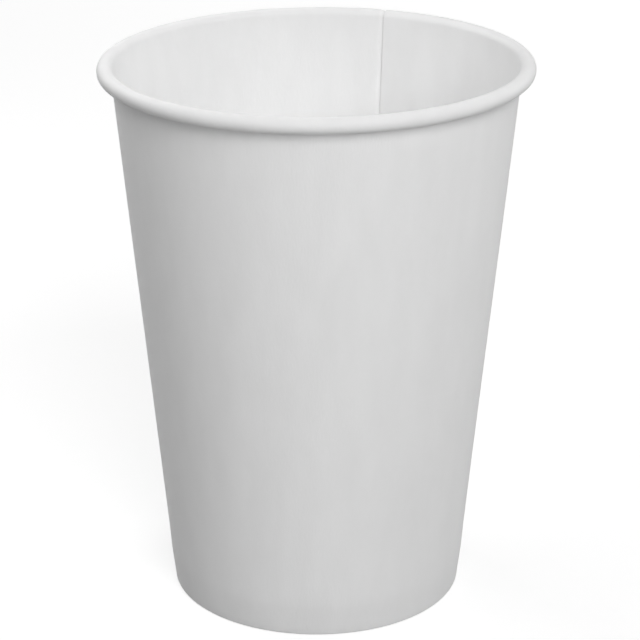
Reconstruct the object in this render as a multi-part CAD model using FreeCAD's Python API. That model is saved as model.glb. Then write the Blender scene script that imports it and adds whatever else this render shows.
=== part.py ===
"""Single-wall paper cup for cold drinks, made of two pieces of coated board.

sidewall   one fan-shaped blank wrapped into a cone. Its end laps over its start and is sealed there,
           which makes the side seam. Its top edge is rolled outward into the brim, and its bottom edge
           is folded inward and up into the hem.
bottom     one disc pressed into a shallow tray, standing upside down. Its skirt is held in the hem.

Units are millimetres. +Z is up, the cup stands on z = 0 and its axis is the Z axis. The start edge of
the blank, which shows as the seam line inside the cup, lies in the plane x = 0 on the +Y side.
"""

import FreeCAD
import Part
import math
import os

# --- Driving dimensions --------------------------------------------------------------------------------
BRIM_DIAMETER = 86.0  # outside the rolled brim
FOOT_DIAMETER = 59.3  # outside the sidewall at the table
HEIGHT = 111.5
WALL_BOARD = 0.40  # thickness of the sidewall's board
BOTTOM_BOARD = 0.32  # thickness of the bottom's board

ROLL_RADIUS = 1.55  # outside radius of the rolled brim
TAIL_RADIUS = 0.95  # outside radius of the tighter turn that tucks the brim's edge in
TAIL_TURN = 150.0  # degrees that the tucked edge goes on past the underside of the brim

BAND_TOP = 6.6  # the wall below this height is pressed onto the bottom's skirt
BAND_LEAN = 6.2  # degrees from upright in that pressed band
BAND_BEND = 12.0  # radius of the soft bend at the top of the band
FOOT_BEND = 0.08  # inside radius of the two creases of the foot
HEM_TOP = 5.9  # height of the hem's free edge

FLOOR_HEIGHT = 7.3  # the upper face of the bottom, above the table
FLOOR_CORNER = 0.8  # outside radius between the floor and its skirt
SKIRT_FOOT = 0.9  # height of the skirt's free edge

LAP_ANGLE = 11.0  # degrees of the wall where the blank's two ends overlap
STEP_ANGLE = 1.7  # degrees in which the blank's end climbs onto its start
SEAL_DEPTH = 0.02  # how far the two sealed plies are pressed into each other

ORIGIN = FreeCAD.Vector(0, 0, 0)
AXIS_DOWN = FreeCAD.Vector(0, 0, -1)  # turning about this runs clockwise, seen from above


# --- Points and lines in the section, the half-plane of the axis and +Y --------------------------------
# A heading is in degrees from outward (+Y) towards up (+Z).
def in_section(r, z):
    return FreeCAD.Vector(0, r, z)


def ahead(point, heading, length):
    a = math.radians(heading)
    return point + in_section(length * math.cos(a), length * math.sin(a))


def beside(point, heading, offset):
    """The point at the given offset to the right of the heading."""
    return ahead(point, heading - 90, offset)


def turned(point, centre, degrees):
    """The point turned about the centre, to the left."""
    a = math.radians(degrees)
    r, z = point.y - centre.y, point.z - centre.z
    return centre + in_section(r * math.cos(a) - z * math.sin(a), r * math.sin(a) + z * math.cos(a))


def heading_of(run):
    return math.degrees(math.atan2(run.z, run.y))


def crossing(point_a, heading_a, point_b, heading_b):
    """Where two lines of the section cross."""
    a, b = math.radians(heading_a), math.radians(heading_b)
    gap = point_b - point_a
    length = (gap.y * math.sin(b) - gap.z * math.cos(b)) / math.sin(b - a)
    return ahead(point_a, heading_a, length)


def at_height(point, heading, z):
    """Where a line of the section reaches the height z."""
    return crossing(point, heading, in_section(0, z), 0)


# --- A folded sheet in section -------------------------------------------------------------------------
class Fold:
    """The line of a sheet's face in section: a start, a heading and a list of straights and bends.

    A line beside it, at any offset to its right, has the same straights, and the same bends with other
    radii, so the sheet's two faces stay parallel through every fold.
    """

    def __init__(self, start, heading):
        self.start = start
        self.heading = heading
        self.moves = []

    def straight(self, length):
        self.moves.append(("straight", length))

    def bend(self, radius, turn):
        """turn is in degrees, positive to the left."""
        self.moves.append(("bend", radius, turn))

    def edges_beside(self, offset):
        """Edges of the line that runs the given offset to the right of the fold line."""
        edges = []
        point, heading = self.start, self.heading
        for kind, *sizes in self.moves:
            if kind == "straight":
                end = ahead(point, heading, sizes[0])
                edge = Part.LineSegment(beside(point, heading, offset), beside(end, heading, offset))
            else:
                radius, turn = sizes
                centre = beside(point, heading, -math.copysign(radius, turn))
                middle = turned(point, centre, turn / 2)
                end = turned(point, centre, turn)
                edge = Part.Arc(
                    beside(point, heading, offset),
                    beside(middle, heading + turn / 2, offset),
                    beside(end, heading + turn, offset),
                )
                heading += turn
            edges.append(edge.toShape())
            point = end
        return edges

    def sheet(self, thickness):
        """The sheet's section, from the fold line to the given thickness on its right."""
        near_side = self.edges_beside(0)
        far_side = self.edges_beside(thickness)
        first_edge = Part.makeLine(near_side[0].firstVertex().Point, far_side[0].firstVertex().Point)
        last_edge = Part.makeLine(near_side[-1].lastVertex().Point, far_side[-1].lastVertex().Point)
        outline = near_side + [last_edge] + far_side[::-1] + [first_edge]
        return Part.Face(Part.Wire(Part.__sortEdges__(outline)))


def fold_along(points, radii):
    """A fold that runs straight from point to point, and bends round each one on its way."""
    runs = [end - start for start, end in zip(points, points[1:])]
    fold = Fold(points[0], heading_of(runs[0]))
    setback = 0
    for run, next_run, radius in zip(runs, runs[1:], radii):
        turn = (heading_of(next_run) - heading_of(run) + 180) % 360 - 180
        straight = run.Length - setback
        setback = radius * math.tan(math.radians(abs(turn)) / 2)
        fold.straight(straight - setback)
        fold.bend(radius, turn)
    fold.straight(runs[-1].Length - setback)
    return fold


# --- Lines that the pieces share -----------------------------------------------------------------------
def band_line():
    """A point on the wall's inside face in the pressed band, and that face's heading."""
    heading = 90 - BAND_LEAN
    return beside(in_section(FOOT_DIAMETER / 2, 0), heading, -WALL_BOARD), heading


def wall_line():
    """The same for the wall's inside face above the band, at the point where it meets the band's."""
    corner = at_height(*band_line(), BAND_TOP)
    to_roll = roll_centre() - corner
    return corner, heading_of(to_roll) + math.degrees(math.asin(ROLL_RADIUS / to_roll.Length))


def roll_centre():
    return in_section(BRIM_DIAMETER / 2 - ROLL_RADIUS, HEIGHT - ROLL_RADIUS)


# --- Sidewall ------------------------------------------------------------------------------------------
def blank_fold(lift):
    """The blank's drink-side face, from the hem's free edge, round the foot, to the edge that is tucked
    into the brim. lift is how far this ply lies outside the blank's start: 0 for a ply that is alone,
    and nearly the board's thickness for the blank's end, which is sealed over the start.
    """
    band_point, band_heading = band_line()
    wall_point, wall_heading = wall_line()
    hem_side = beside(band_point, band_heading, -BOTTOM_BOARD - lift)  # the skirt fills the hem
    band_side = beside(band_point, band_heading, lift)
    wall_side = beside(wall_point, wall_heading, lift)

    fold = fold_along(
        [
            at_height(hem_side, band_heading, HEM_TOP),
            at_height(hem_side, band_heading, WALL_BOARD),
            at_height(band_side, band_heading, WALL_BOARD),
            crossing(band_side, band_heading, wall_side, wall_heading),
            beside(roll_centre(), wall_heading, lift - ROLL_RADIUS),
        ],
        [FOOT_BEND, FOOT_BEND, BAND_BEND + lift],
    )
    fold.bend(ROLL_RADIUS - lift, -wall_heading - 180)
    fold.bend(TAIL_RADIUS - lift, -TAIL_TURN)
    return fold


def make_sidewall():
    """The blank wrapped clockwise: from its start nearly all the way round, a step up onto the start,
    and the lap.
    """
    single_ply = blank_fold(0).sheet(WALL_BOARD)
    lapping_ply = blank_fold(WALL_BOARD - SEAL_DEPTH).sheet(WALL_BOARD)

    wrap = single_ply.revolve(ORIGIN, AXIS_DOWN, 360 - STEP_ANGLE)
    foot_of_step = single_ply.OuterWire.rotated(ORIGIN, AXIS_DOWN, -STEP_ANGLE)
    step = Part.makeLoft([foot_of_step, lapping_ply.OuterWire], True, True)
    lap = lapping_ply.revolve(ORIGIN, AXIS_DOWN, LAP_ANGLE)
    return wrap.fuse([step, lap]).Solids[0]


# --- Bottom --------------------------------------------------------------------------------------------
def make_bottom():
    """The floor and its skirt, which fills the gap between the wall's band and the hem."""
    band_face = band_line()
    fold = fold_along(
        [
            in_section(0, FLOOR_HEIGHT),
            at_height(*band_face, FLOOR_HEIGHT),
            at_height(*band_face, SKIRT_FOOT),
        ],
        [FLOOR_CORNER],
    )
    return fold.sheet(BOTTOM_BOARD).revolve(ORIGIN, AXIS_DOWN, 360)


def main():
    os.makedirs("parts", exist_ok=True)
    for name, piece in (("sidewall", make_sidewall()), ("bottom", make_bottom())):
        piece.exportStep(f"parts/{name}.step")
        print(f"{name}: valid {piece.isValid()}, {piece.Volume / 1000:.3f} cm3")


if __name__ == "__main__":
    main()
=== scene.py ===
# %% [markdown]
# # A paper cup for cold drinks
#
# A paper cup is two pieces of coated board. The sidewall is one fan-shaped blank: it is wrapped into a
# cone until its end laps over its start, its top edge is rolled outward into the brim, and its bottom
# edge is folded inward and up into a hem. The bottom is one disc, pressed into a shallow tray, and the
# hem holds the tray's skirt.
#
# A lathe shape with a flat white finish would look like plastic or china. What tells the eye that this
# is paper is the board itself: the same thickness everywhere, the overlap, the cut edges, the roll and
# the folds. So both pieces are modelled as sheets. Each starts as one line in section, is swept about
# the axis, and gets the board's thickness last.

import math

import bmesh
import bpy
from mathutils import Matrix, Vector, noise


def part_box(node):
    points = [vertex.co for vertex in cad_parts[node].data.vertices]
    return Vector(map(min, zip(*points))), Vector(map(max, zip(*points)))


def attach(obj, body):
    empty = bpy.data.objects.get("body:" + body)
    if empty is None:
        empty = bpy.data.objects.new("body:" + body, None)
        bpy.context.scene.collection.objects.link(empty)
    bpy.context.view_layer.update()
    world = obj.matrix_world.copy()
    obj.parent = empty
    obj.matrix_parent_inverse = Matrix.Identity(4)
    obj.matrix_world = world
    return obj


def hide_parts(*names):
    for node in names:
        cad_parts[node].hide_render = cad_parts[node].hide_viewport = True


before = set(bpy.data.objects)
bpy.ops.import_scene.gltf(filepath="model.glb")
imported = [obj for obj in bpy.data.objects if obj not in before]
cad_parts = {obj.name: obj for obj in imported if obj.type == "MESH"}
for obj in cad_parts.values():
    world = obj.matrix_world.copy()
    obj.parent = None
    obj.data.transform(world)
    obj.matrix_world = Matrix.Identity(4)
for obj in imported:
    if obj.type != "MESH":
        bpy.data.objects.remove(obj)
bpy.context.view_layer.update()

# %% [markdown]
# ## Sizes
#
# The brim, the height and the floor are read from the construction model, so that the pieces made here
# fit it without any adjusting. The rest are the sizes a cup maker would give: the board, the roll, the
# pressed band at the foot and the overlap. Angles are in degrees.

# %% Sizes of the cup
MM = 0.001
wall_low, wall_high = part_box("sidewall")
tray_low, tray_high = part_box("bottom")
brim_radius = min(wall_high.x, wall_high.y, -wall_low.x, -wall_low.y)
cup_height = wall_high.z
floor_height = tray_high.z
skirt_foot = tray_low.z

foot_radius = 29.65 * MM
wall_board = 0.40 * MM
tray_board = 0.32 * MM
hair_gap = 0.01 * MM  # between two faces that touch, so that they never share a plane

roll_radius = 1.55 * MM
tail_radius = 0.95 * MM  # the tighter turn that tucks the brim's edge in
tail_turn = 150.0  # how far the edge goes round that turn

band_top = 6.6 * MM  # the wall below this is pressed onto the tray's skirt
band_lean = 6.2
band_bend = 12 * MM  # radius of the soft bend at the top of the band
hem_top = 5.9 * MM
foot_bend = 0.08 * MM  # radius of the two creases of the foot
tray_corner = 0.8 * MM  # radius between the floor and its skirt

lap_angle = 11.0  # where the blank's two ends overlap
step_angle = 1.7  # where the end climbs onto the start
print(f"brim {2 * brim_radius / MM:.2f} mm wide, cup {cup_height / MM:.2f} mm high")

# %% [markdown]
# ## Lines in section
#
# Cut the cup in half and each sheet is a thin line. A point of the section is (radius, height), and a
# direction is given by how far it leans outward from upright. Two small functions find where straight
# lines reach a height or meet, so every corner follows from the sizes above.

# %% Points and directions in the section
def leaning(degrees):
    return Vector((math.sin(math.radians(degrees)), math.cos(math.radians(degrees))))


def outward_of(direction):
    return Vector((direction.y, -direction.x))


def at_height(point, direction, height):
    return point + direction * ((height - point.y) / direction.y)


def meeting(point, direction, other_point, other_direction):
    gap = other_point - point
    return point + direction * (gap.cross(other_direction) / direction.cross(other_direction))


band_up = leaning(band_lean)
band_face = Vector((foot_radius, 0)) - outward_of(band_up) * wall_board  # on its drink side
band_corner = at_height(band_face, band_up, band_top)

roll_centre = Vector((brim_radius - roll_radius, cup_height - roll_radius))
to_roll = roll_centre - band_corner
wall_lean = math.degrees(math.atan2(to_roll.x, to_roll.y) - math.asin(roll_radius / to_roll.length))
wall_up = leaning(wall_lean)
print(f"the wall leans {wall_lean:.2f} degrees, the band {band_lean} degrees")

# %% [markdown]
# The line itself is drawn with a few corner points. A vertex bevel then turns a sharp corner into the
# round bend that folded board really makes, and `spin` carries the end of the line round an arc. Both
# are the operators that work on solid shapes; on a bare line they round it and lengthen it.

# %% Draw, round and roll a line
def draw_line(bm, corners, pieces):
    """Pulls a line from corner to corner, each run in its number of pieces, and returns its corners."""
    tip = bm.verts.new((0, corners[0].x, corners[0].y))
    turning_points = [tip]
    for start, end, number in zip(corners, corners[1:], pieces):
        for _ in range(number):
            tip = bmesh.ops.extrude_vert_indiv(bm, verts=[tip])["verts"][0]
            tip.co.yz += (end - start) / number
        turning_points.append(tip)
    return turning_points


def round_corner(bm, corner, radius, segments):
    """Replaces a corner of a line with an arc of the given radius."""
    before, after = [edge.other_vert(corner).co - corner.co for edge in corner.link_edges]
    setback = radius / math.tan(before.angle(after) / 2)
    bmesh.ops.bevel(
        bm, geom=[corner], affect="VERTICES", offset=setback, offset_type="OFFSET",
        segments=segments, profile=0.5, material=-1,
    )


def roll_on(bm, tip, centre, degrees, steps):
    """Carries the tip of a line round a centre, up and over, as a brim is rolled outward."""
    arc = bmesh.ops.spin(
        bm, geom=[tip], cent=(0, centre.x, centre.y), axis=(1, 0, 0),
        angle=-math.radians(degrees), steps=steps,
    )
    return arc["geom_last"][0]


# %% [markdown]
# ## The blank in section
#
# The line runs along the drink side of the board: down the hem, round the foot, up the pressed band,
# up the wall, over the brim and into the tucked tail. Three versions of it are needed, because the
# blank meets itself at the side seam. The end of the blank lies one board further out than its start,
# so `lift` moves its line outward, which inside the roll means further in. At the table the end passes
# below the start, so there the start's foot is raised by `foot_rise`.

# %% The line of the blank
def blank_line(bm, lift=0.0, foot_rise=0.0):
    skirt_room = tray_board + 2 * hair_gap
    hem_side = band_face - outward_of(band_up) * (skirt_room + lift)
    band_side = band_face + outward_of(band_up) * lift
    wall_side = band_corner + outward_of(wall_up) * lift
    inner_foot = wall_board + hair_gap + foot_rise

    _, hem_corner, foot_corner, bend, roll_start = draw_line(
        bm,
        [
            at_height(hem_side, band_up, hem_top),
            at_height(hem_side, band_up, inner_foot),
            at_height(band_side, band_up, inner_foot),
            meeting(band_side, band_up, wall_side, wall_up),
            roll_centre - outward_of(wall_up) * (roll_radius - lift),
        ],
        pieces=[6, 1, 4, 19],
    )
    round_corner(bm, hem_corner, foot_bend, segments=5)
    round_corner(bm, foot_corner, foot_bend, segments=5)
    round_corner(bm, bend, band_bend, segments=3)

    tip = roll_on(bm, roll_start, roll_centre, 270 - wall_lean, steps=22)
    tip_point = Vector(tip.co.yz)
    tail_centre = tip_point + (roll_centre - tip_point).normalized() * (tail_radius - lift)
    roll_on(bm, tip, tail_centre, tail_turn, steps=12)


# %% [markdown]
# ## Wrapping the blank
#
# The blank is wrapped clockwise, seen from above, from its start edge on +Y. It could be one full spin
# of one line, but then there would be no seam at all. Instead three stretches are swept: the start that
# will be covered, the single board all the way round, and the end that covers the start. The short
# steps between them, where the board climbs, are bridged. The climb passes a few lines on its way, each
# lifted by a share of the board, so that it starts and ends softly.

# %% Sweep three stretches and bridge the steps between them
climb_shares = [0.1, 0.35, 0.65, 0.9]


def line_at(bm, degrees, **line):
    """Draws a version of the line, turned clockwise from the seam, and returns its points and edges."""
    others = set(bm.verts)
    blank_line(bm, **line)
    verts = [vert for vert in bm.verts if vert not in others]
    edges = [edge for edge in bm.edges if edge.verts[0] not in others]
    turn = Matrix.Rotation(-math.radians(degrees), 3, "Z")
    bmesh.ops.rotate(bm, verts=verts, cent=(0, 0, 0), matrix=turn)
    return verts, edges


def sweep_stretch(bm, start, sweep, **line):
    """Sweeps a line clockwise, in columns of one degree, and returns its first and last edges."""
    verts, edges = line_at(bm, start, **line)
    swept = bmesh.ops.spin(
        bm, geom=verts + edges, cent=(0, 0, 0), axis=(0, 0, -1),
        angle=math.radians(sweep), steps=round(sweep),
    )
    last_edges = [item for item in swept["geom_last"] if isinstance(item, bmesh.types.BMEdge)]
    return edges, last_edges


def climb(bm, edges, start, height):
    """Bridges from a stretch's last edges up through lines that are each lifted a little more."""
    steps = len(climb_shares) + 1
    for step, share in enumerate(climb_shares, 1):
        _, next_edges = line_at(bm, start + step_angle * step / steps, lift=share * height)
        bmesh.ops.bridge_loops(bm, edges=edges + next_edges)
        edges = next_edges
    return edges


def wrap_blank(bm):
    ply = wall_board + hair_gap
    single_start = lap_angle + step_angle
    _, covered_end = sweep_stretch(bm, 0, lap_angle, foot_rise=ply)
    single_edge, single_end = sweep_stretch(bm, single_start, 360 - step_angle - single_start)
    over_edge, _ = sweep_stretch(bm, 360, lap_angle, lift=ply)
    bmesh.ops.bridge_loops(bm, edges=covered_end + single_edge)
    climbed = climb(bm, single_end, 360 - step_angle, ply)
    bmesh.ops.bridge_loops(bm, edges=climbed + over_edge)


blank = bmesh.new()
wrap_blank(blank)
print(f"the wrapped blank has {len(blank.faces)} faces")

# %% [markdown]
# ## Pressed marks
#
# The hem is pressed against the tray's skirt by a wheel with fine ribs, which leaves upright ridges
# round the inside of the foot. They are real relief, so the points of the hem are moved. Each ridge is
# only pushed towards the axis, away from the skirt.

# %% Press ridges into the hem
ridge_count = 90
ridge_depth = 0.09 * MM
ridge_start = 1.2 * MM  # height where the ridges begin, clear of the foot's folds
ridge_fullness = 0.7  # below 1, a ridge keeps its depth along more of its height
ridge_phase = math.pi / 4  # the seam lies an eighth of the way through a ridge's cycle


def clockwise_angle(point):
    """Angle from the seam, on +Y, in radians."""
    return math.atan2(point.x, point.y) % math.tau


def press_hem(bm):
    """Pushes the points of the hem, which lies behind the skirt, inward, and returns their number."""
    pressed = 0
    for vert in bm.verts:
        radius, height = vert.co.xy.length, vert.co.z
        behind_band = outward_of(band_up).dot(Vector((radius, height)) - band_face)
        if behind_band > -0.5 * tray_board or not ridge_start < height < hem_top:
            continue
        share = (height - ridge_start) / (hem_top - ridge_start)
        ridge = (1 + math.sin(ridge_count * clockwise_angle(vert.co) + ridge_phase)) / 2
        inward = ridge_depth * ridge * math.sin(math.pi * share) ** ridge_fullness
        vert.co.xy *= 1 - inward / radius
        pressed += 1
    return pressed


print(f"pressed {press_hem(blank)} points of the hem")

# %% [markdown]
# ## Unevenness
#
# Board springs back a little after it is wrapped, so no paper cup is a true cone. The mouth is slightly
# oval and its rim dips to one side, the wall swells and flattens in soft panels, the stiffer lap stays
# flatter than the rest, and the roll is a little lumpy. The tray's corner holds the wall out by a tenth
# of a millimetre, which shows as a soft ring above the foot. All of this is less than half a millimetre,
# but it bends the shading and the outline just enough to take away the look of a turned part.
#
# One field moves every sheet, and it depends only on the direction from the axis and the height. So
# sheets that touch go on touching. At the brim it only moves points inward and down, and at the table
# it moves next to nothing.

# %% A field that moves every sheet alike
rim_dip = 0.35 * MM
high_side = math.radians(70)
oval_depth = 0.15 * MM
long_way = math.radians(35)
lap_flatness = 0.10 * MM
lap_reach = math.radians(10)
lap_rise = 3  # the lap is at its flattest from a third of the height up
panel_depth = 0.09 * MM
broad_panel = (22 * MM, 70 * MM)  # lengths of a swell, round the cup and up it
small_panel = (9 * MM, 50 * MM)
small_share = 0.4  # depth of a small swell, as a share of a broad one's
lump_depth = 0.06 * MM
lump_length = 4.5 * MM
lump_drop = 0.5  # how far a lump also lowers the roll, as a share of its depth
lump_zone = 3 * MM  # the lumps are at full depth down to here, and gone at twice this
tray_push = 0.10 * MM
push_reach = 3.5 * MM
still_radius = 1 * MM  # points as near the axis as this have no clear way inward, and stay


def wander(angle, height, across, along):
    """A smooth random value from -1 to 1 that changes over the given lengths, round the cup and up."""
    around = Vector((math.sin(angle), math.cos(angle))) * brim_radius / across
    return noise.noise((around.x, around.y, height / along))


def inward_move(angle, height):
    share = height / cup_height
    oval = oval_depth * share * (1 - math.cos(2 * (angle - long_way))) / 2
    from_lap = ((angle - math.radians(lap_angle / 2) + math.pi) % math.tau - math.pi) / lap_reach
    lap = lap_flatness * min(1, lap_rise * share) * math.cos(math.pi / 2 * min(1, abs(from_lap))) ** 2
    panels = wander(angle, height, *broad_panel) + small_share * wander(angle, height, *small_panel)
    push = tray_push * math.exp(-(((height - floor_height) / push_reach) ** 2))
    return oval + lap - push + panel_depth * math.sin(math.pi * min(1, share)) * panels


def settle(bm):
    """Moves every point by the field, and adds the lumps of the roll."""
    for vert in bm.verts:
        radius, height = vert.co.xy.length, vert.co.z
        if radius < still_radius:
            continue
        angle = clockwise_angle(vert.co)
        on_roll = min(1, max(0, (height - cup_height) / lump_zone + 2))
        lump = lump_depth * on_roll * (1 + wander(angle, 0, lump_length, 1)) / 2
        vert.co.xy *= 1 - (inward_move(angle, height) + lump) / radius
        dip = rim_dip * height / cup_height * (1 - math.cos(angle - high_side)) / 2
        vert.co.z -= dip + lump_drop * lump


settle(blank)
print(f"the rim dips {rim_dip / MM} mm and is {oval_depth / MM} mm out of round on the radius")

# %% [markdown]
# ## Thickness and cut edges
#
# `solidify` gives the sheet its board, on the side away from the faces' normals. So the normals are
# made to face the drink first. Where the sheet ends, the new faces are the raw cut edges of the board:
# the seam line inside, the lap's edge outside and the top of the hem. They get their own material. A
# knife leaves board with slightly blunted corners, so a narrow bevel of one segment runs along both sides
# of every cut and catches the light. Its corners stay crisp; everything else is shaded smooth.

# %% Turn a sheet into board
knife_blunting = 0.04 * MM
crisp_from = math.radians(35)  # edges that turn more than this are shaded sharp


def face_one_way(bm, towards):
    """Makes an open sheet's normals agree, and point to the side that the test says."""
    bmesh.ops.recalc_face_normals(bm, faces=bm.faces[:])
    agreeing = sum(towards(face) * face.calc_area() for face in bm.faces)
    if agreeing < 0:
        bmesh.ops.reverse_faces(bm, faces=bm.faces[:])


def thicken(bm, board):
    """Gives a sheet its board, blunts the cut edges and returns the number of raw faces."""
    border = [edge for edge in bm.edges if edge.is_boundary]
    sheet_faces = set(bm.faces)
    bmesh.ops.solidify(bm, geom=bm.faces[:], thickness=board)
    cut_faces = {face for edge in border for face in edge.link_faces} - sheet_faces
    for face in bm.faces:
        face.material_index = 1 if face in cut_faces else 0
    corners = [edge for edge in bm.edges if sum(face in cut_faces for face in edge.link_faces) == 1]
    bmesh.ops.bevel(
        bm, geom=corners, affect="EDGES", offset=knife_blunting, offset_type="OFFSET",
        segments=1, profile=0.5, material=-1, clamp_overlap=True,
    )
    for face in bm.faces:
        face.smooth = True
    for edge in bm.edges:
        edge.smooth = edge.calc_face_angle(0) < crisp_from
    return sum(face.material_index == 1 for face in bm.faces)


def make_piece(bm, name):
    mesh = bpy.data.meshes.new(name)
    bm.to_mesh(mesh)
    bm.free()
    piece = bpy.data.objects.new(name, mesh)
    bpy.context.scene.collection.objects.link(piece)
    return piece


def towards_drink(face):
    """Above 0 where a face looks towards the axis."""
    return -face.normal.xy.dot(face.calc_center_median().xy)


def of_wall(face):
    """The wall decides which side is the drink's: the hem and the roll face elsewhere."""
    height = face.calc_center_median().z
    return towards_drink(face) if band_top < height < 0.9 * cup_height else 0


face_one_way(blank, of_wall)
cut_faces = thicken(blank, wall_board)
sidewall = make_piece(blank, "cup_sidewall")
print(f"sidewall: {len(sidewall.data.polygons)} faces, {cut_faces} of them raw edges")

# %% [markdown]
# ## The bottom
#
# The bottom is drawn the same way: a floor from the axis out, a small round corner and the skirt down
# between the band and the hem. A full spin merges its last column with its first, and the points that
# met on the axis are merged into one. A pressed disc is never quite flat, so its middle sags a little.
# Its skirt is gathered from a flat disc that was wider, and the spare board shows as faint puckers that
# run in over the corner. They fade out within about two millimetres.

# %% Spin the tray
floor_sag = 0.25 * MM
pucker_count = 72
pucker_depth = 0.05 * MM
pucker_reach = 2.2 * MM
pucker_drop = 0.3 * MM  # how far the puckers run down the corner's bend
pucker_shift = 2  # radians of phase by which a pucker may leave its even place
pucker_wander = 6 * MM  # length along the corner in which that shift changes
bend_width = 0.6 * MM  # from the middle of the corner's bend to the corner itself
edge_zone = 3 * MM  # the outermost part of the floor, drawn in finer pieces
same_point = 0.001 * MM


def press_floor(bm, corner_radius):
    """Sags the middle and puckers the last millimetres before the corner, always downwards."""
    for vert in bm.verts:
        radius = vert.co.xy.length
        share = radius / corner_radius
        if share < 1:
            vert.co.z -= floor_sag * (1 - share**2) ** 2
        nearness = 1 - abs(radius - corner_radius) / pucker_reach
        if nearness > 0 and vert.co.z > floor_height - pucker_drop:
            angle = clockwise_angle(vert.co)
            shift = pucker_shift * wander(angle, 0, pucker_wander, 1)
            pucker = (1 + math.sin(pucker_count * angle + shift)) / 2
            vert.co.z -= pucker_depth * pucker * nearness**2


def make_tray():
    bm = bmesh.new()
    skirt_face = band_face - outward_of(band_up) * hair_gap
    corner = at_height(skirt_face, band_up, floor_height)
    corner_radius = corner.x - bend_width
    _, _, rim, _ = draw_line(
        bm,
        [
            Vector((0, floor_height)),
            Vector((corner.x - edge_zone, floor_height)),
            corner,
            at_height(skirt_face, band_up, skirt_foot),
        ],
        pieces=[13, 5, 4],
    )
    round_corner(bm, rim, tray_corner, segments=6)
    bmesh.ops.spin(
        bm, geom=bm.verts[:] + bm.edges[:], cent=(0, 0, 0), axis=(0, 0, -1),
        angle=math.tau, steps=360, use_merge=True,
    )
    bmesh.ops.remove_doubles(bm, verts=bm.verts, dist=same_point)
    press_floor(bm, corner_radius)
    settle(bm)
    face_one_way(bm, lambda face: face.normal.z)
    thicken(bm, tray_board)
    return make_piece(bm, "cup_bottom")


bottom = make_tray()
print(f"bottom: {len(bottom.data.polygons)} faces")

# %% [markdown]
# ## Coated board
#
# Cup board is bleached pulp with a thin skin of plastic. From a step away it is an even, faintly
# clouded white with a soft satin shine. Close to, the fibres under the coating make it very slightly
# uneven, and they lie mostly one way. One node group gives both: a cloud to vary the tone and the
# shine, and a height for the bump. Both come from noise on object coordinates, which stay fixed to the
# piece, and the grain's direction is set by stretching them.

# %% Node group for board
fibre_share = 0.35  # height of the fibres, as a share of the cloud's


def new_group(name, inputs, outputs):
    group = bpy.data.node_groups.new(name, "ShaderNodeTree")
    for socket_name, default in inputs.items():
        socket = group.interface.new_socket(socket_name, in_out="INPUT", socket_type="NodeSocketFloat")
        socket.default_value = default
    for socket_name in outputs:
        group.interface.new_socket(socket_name, in_out="OUTPUT", socket_type="NodeSocketFloat")
    return group, group.nodes.new("NodeGroupInput"), group.nodes.new("NodeGroupOutput")


def make_fibre_group():
    group, given, result = new_group(
        "Board fibres",
        inputs={"Cloud Scale": 260.0, "Fibre Scale": 2600.0, "Along X": 1.0, "Along Z": 0.3},
        outputs=["Cloud", "Height"],
    )
    nodes, links = group.nodes, group.links
    place = nodes.new("ShaderNodeTexCoord")
    grain = nodes.new("ShaderNodeCombineXYZ")
    grain.inputs["Y"].default_value = 1.0
    stretch = nodes.new("ShaderNodeVectorMath")
    stretch.operation = "MULTIPLY"
    cloud = nodes.new("ShaderNodeTexNoise")
    cloud.inputs["Detail"].default_value = 3.0
    fibre = nodes.new("ShaderNodeTexNoise")
    fibre.inputs["Detail"].default_value = 2.0
    fibre.inputs["Roughness"].default_value = 0.6
    height = nodes.new("ShaderNodeMath")
    height.operation = "MULTIPLY_ADD"
    height.inputs[1].default_value = fibre_share

    links.new(given.outputs["Along X"], grain.inputs["X"])
    links.new(given.outputs["Along Z"], grain.inputs["Z"])
    links.new(place.outputs["Object"], stretch.inputs[0])
    links.new(grain.outputs["Vector"], stretch.inputs[1])
    for pattern, scale in ((cloud, "Cloud Scale"), (fibre, "Fibre Scale")):
        links.new(stretch.outputs["Vector"], pattern.inputs["Vector"])
        links.new(given.outputs[scale], pattern.inputs["Scale"])
    links.new(fibre.outputs["Fac"], height.inputs[0])
    links.new(cloud.outputs["Fac"], height.inputs[2])
    links.new(cloud.outputs["Fac"], result.inputs["Cloud"])
    links.new(height.outputs["Value"], result.inputs["Height"])
    return group


fibres = make_fibre_group()
print("node group:", fibres.name)

# %% [markdown]
# ## Finishes
#
# Light also wanders inside the pulp. A thin sheet glows faintly when it is lit from behind, and the lap,
# which is two sheets, glows less. Subsurface scattering does the same, if the light reaches nearly as
# far as the board is thick. The wall, the bottom and the cut edges are three materials of the same
# make. The grain runs up the wall and across the bottom. A cut edge has no coating, so its pulp is darker
# and rougher, and its fibres point every way.

# %% Materials of the board
light_reach = 0.33 * MM
cloud_range = (0.3, 0.7)  # the cloud's values that stand for its darkest and lightest places


def new_range(nodes, source, target):
    """A node that carries the values of one range over to another."""
    node = nodes.new("ShaderNodeMapRange")
    node.inputs["From Min"].default_value, node.inputs["From Max"].default_value = source
    node.inputs["To Min"].default_value, node.inputs["To Max"].default_value = target
    return node


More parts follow.
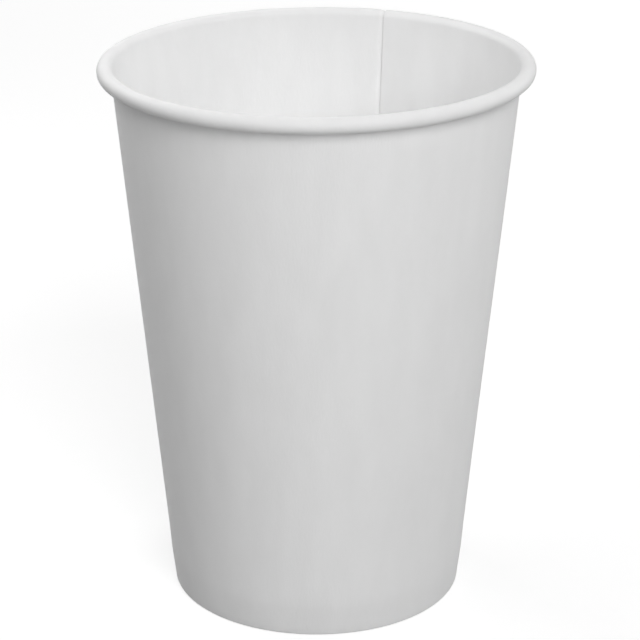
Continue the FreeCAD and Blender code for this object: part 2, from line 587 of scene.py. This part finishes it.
def make_board(name, tones, roughness, relief, **fibre_settings):
    """Board whose cloud runs between two tones, with its fibres as a relief of the given depth."""
    material = bpy.data.materials.new(name)
    material.use_nodes = True
    nodes, links = material.node_tree.nodes, material.node_tree.links
    shader = nodes["Principled BSDF"]
    texture = nodes.new("ShaderNodeGroup")
    texture.node_tree = fibres
    for socket, value in fibre_settings.items():
        texture.inputs[socket.replace("_", " ")].default_value = value
    tone = nodes.new("ShaderNodeValToRGB")
    for element, position, colour in zip(tone.color_ramp.elements, cloud_range, tones):
        element.position = position
        element.color = (*colour, 1)
    shine = new_range(nodes, cloud_range, roughness)
    bump = nodes.new("ShaderNodeBump")
    bump.inputs["Distance"].default_value = relief
    shader.inputs["Specular IOR Level"].default_value = 0.3
    shader.inputs["Subsurface Weight"].default_value = 1.0
    shader.inputs["Subsurface Radius"].default_value = (1, 1, 1)
    shader.inputs["Subsurface Scale"].default_value = light_reach

    links.new(texture.outputs["Cloud"], tone.inputs["Fac"])
    links.new(tone.outputs["Color"], shader.inputs["Base Color"])
    links.new(texture.outputs["Cloud"], shine.inputs["Value"])
    links.new(shine.outputs["Result"], shader.inputs["Roughness"])
    links.new(texture.outputs["Height"], bump.inputs["Height"])
    links.new(bump.outputs["Normal"], shader.inputs["Normal"])
    return material


wall_finish = make_board(
    "coated board, wall", tones=((0.845, 0.845, 0.845), (0.865, 0.865, 0.865)),
    roughness=(0.55, 0.65), relief=0.08 * MM, Along_Z=0.3,
)
tray_finish = make_board(
    "coated board, bottom", tones=((0.835, 0.835, 0.835), (0.855, 0.855, 0.855)),
    roughness=(0.55, 0.65), relief=0.08 * MM, Along_X=0.3, Along_Z=1.0,
)
raw_edge = make_board(
    "cut edge of board", tones=((0.64, 0.635, 0.62), (0.74, 0.735, 0.725)),
    roughness=(0.8, 0.95), relief=0.05 * MM, Cloud_Scale=900.0, Fibre_Scale=6000.0, Along_Z=1.0,
)
for piece, finish in ((sidewall, wall_finish), (bottom, tray_finish)):
    piece.data.materials.append(finish)
    piece.data.materials.append(raw_edge)
print("materials:", [material.name for material in bpy.data.materials])

# %% [markdown]
# ## Fitting the pieces
#
# Each piece takes the place of the solid of the same name, and rides on the cup's only body, because
# nothing on a cup moves.

# %% Fit the pieces to the construction model
for piece, node, slot in ((sidewall, "sidewall", "wall_board"), (bottom, "bottom", "bottom_board")):
    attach(piece, "root")
    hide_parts(node)
    print(piece.name, "replaces", node)

# %% [markdown]
# ## Floor
#
# The floor is a plain grey plane, dim enough that it throws little light up at the cup. To the camera it
# also glows, so it looks white and still keeps the cup's shadow. The glow grows with the distance from
# the cup, because the lamps stand near it and leave the far floor dark. Mirrors and glass see the glow
# too, but it lights nothing.

# %% Floor
floor_half_width = 4.0
floor_tone = 0.45
glow_zone = (0.15, 1.0)  # distances from the cup, in metres
glow_range = (0.63, 0.98)  # strength of the glow at those distances


def seen_directly(tree):
    """1 for rays from the camera, and for those that a mirror or glass passes on; 0 for the rest."""
    path = tree.nodes.new("ShaderNodeLightPath")
    total = path.outputs["Is Camera Ray"]
    for kind in ("Is Glossy Ray", "Is Transmission Ray"):
        add = tree.nodes.new("ShaderNodeMath")
        add.operation = "MAXIMUM"
        tree.links.new(total, add.inputs[0])
        tree.links.new(path.outputs[kind], add.inputs[1])
        total = add.outputs["Value"]
    return total


def make_floor():
    bm = bmesh.new()
    bmesh.ops.create_grid(bm, x_segments=1, y_segments=1, size=floor_half_width)
    floor = make_piece(bm, "floor")
    material = bpy.data.materials.new("pale floor")
    material.use_nodes = True
    nodes, links = material.node_tree.nodes, material.node_tree.links
    shader = nodes["Principled BSDF"]
    shader.inputs["Base Color"].default_value = (floor_tone, floor_tone, floor_tone, 1)
    shader.inputs["Roughness"].default_value = 0.9
    shader.inputs["Emission Color"].default_value = (1, 1, 1, 1)
    place = nodes.new("ShaderNodeTexCoord")
    distance = nodes.new("ShaderNodeVectorMath")
    distance.operation = "LENGTH"
    spread = new_range(nodes, glow_zone, glow_range)
    glow = nodes.new("ShaderNodeMath")
    glow.operation = "MULTIPLY"
    links.new(place.outputs["Object"], distance.inputs[0])
    links.new(distance.outputs["Value"], spread.inputs["Value"])
    links.new(spread.outputs["Result"], glow.inputs[0])
    links.new(seen_directly(material.node_tree), glow.inputs[1])
    links.new(glow.outputs["Value"], shader.inputs["Emission Strength"])
    floor.data.materials.append(material)


make_floor()
print(f"the floor is {2 * floor_half_width} m wide, and its glow runs between {glow_range}")

# %% [markdown]
# ## World
#
# The room is white to the camera and to reflections, and nearly dark to everything else. A bright world
# would light the cup evenly from all sides, and its roundness would be lost.

# %% World
room_light = 0.03
world = bpy.data.worlds.new("white room")
bpy.context.scene.world = world
world.use_nodes = True
sky = world.node_tree.nodes["Background"]
sky_nodes, sky_links = world.node_tree.nodes, world.node_tree.links
sky.inputs["Color"].default_value = (1, 1, 1, 1)
seen = sky_nodes.new("ShaderNodeMix")
seen.inputs["A"].default_value = room_light
seen.inputs["B"].default_value = 1.0
sky_links.new(seen_directly(world.node_tree), seen.inputs["Factor"])
sky_links.new(seen.outputs["Result"], sky.inputs["Strength"])
print("room light:", room_light)

# %% [markdown]
# ## Lamps
#
# White on white is modelled by soft light from one side. The key is a large softbox a little to the
# right of the camera, and the left side of the cup falls into shade. Two softboxes stand behind. They
# brighten the inside of the mouth and draw a thin edge of light down both sides of the wall. The small
# ones stand close to the cup, so their light fades down the wall.

# %% Lamps
def stand_at(holder, azimuth, elevation, distance):
    """Puts a lamp or a camera at that distance in that direction, pointing at the cup's middle."""
    a, e = math.radians(azimuth), math.radians(elevation)
    away = Vector((math.sin(a) * math.cos(e), -math.cos(a) * math.cos(e), math.sin(e)))
    holder.location = Vector((0, 0, cup_height / 2)) + away * distance
    holder.rotation_euler = away.to_track_quat("Z", "Y").to_euler()


def add_softbox(name, azimuth, elevation, distance, size, power):
    lamp = bpy.data.lights.new(name, "AREA")
    lamp.shape = "SQUARE"
    lamp.size = size
    lamp.energy = power
    holder = bpy.data.objects.new(name, lamp)
    bpy.context.scene.collection.objects.link(holder)
    stand_at(holder, azimuth, elevation, distance)


camera_azimuth = 20.8
softboxes = [  # name, azimuth from the camera's, elevation, distance, size, and power in watts
    ("key softbox", 20, 34, 0.9, 0.5, 5.6),
    ("fill softbox", -60, 50, 0.45, 0.3, 0.36),
    ("back left softbox", -130, 45, 0.35, 0.25, 0.51),
    ("back right softbox", 125, 25, 0.9, 0.5, 2.45),
]
for name, offset, elevation, distance, size, power in softboxes:
    add_softbox(name, camera_azimuth + offset, elevation, distance, size, power)
print(len(softboxes), "softboxes")

# %% [markdown]
# ## Light inside the cup
#
# White board throws back most of the light that meets it, so light crosses the inside of the cup many
# times before it comes out. Unless it is told otherwise, Cycles drops a ray after its fourth diffuse
# bounce, and the inside and its floor would be too dark. A higher limit costs little time in so small
# a scene.

# %% Light inside the cup
bounces = 12
bpy.context.scene.cycles.diffuse_bounces = bounces
print("diffuse bounces:", bounces)

# %% [markdown]
# ## Camera
#
# A long lens from half a metre away keeps the perspective mild, so the brim looks only a little larger
# against the foot than it is. The camera looks down into the mouth just far enough to show the seam
# inside, and a slight shift puts the cup in the middle of the frame.

# %% Camera
camera_elevation = 21.3
camera_distance = 486.3 * MM
camera_data = bpy.data.cameras.new("camera")
camera_data.sensor_width = 36
camera_data.lens = 134.2
camera_data.shift_x = 0.0055
camera_data.shift_y = 0.0042
camera_data.clip_start = 0.01
camera = bpy.data.objects.new("camera", camera_data)
bpy.context.scene.collection.objects.link(camera)
stand_at(camera, camera_azimuth, camera_elevation, camera_distance)
bpy.context.scene.camera = camera
bpy.context.scene.view_settings.view_transform = "Standard"
print(f"the camera has a {camera_data.lens:.1f} mm lens")
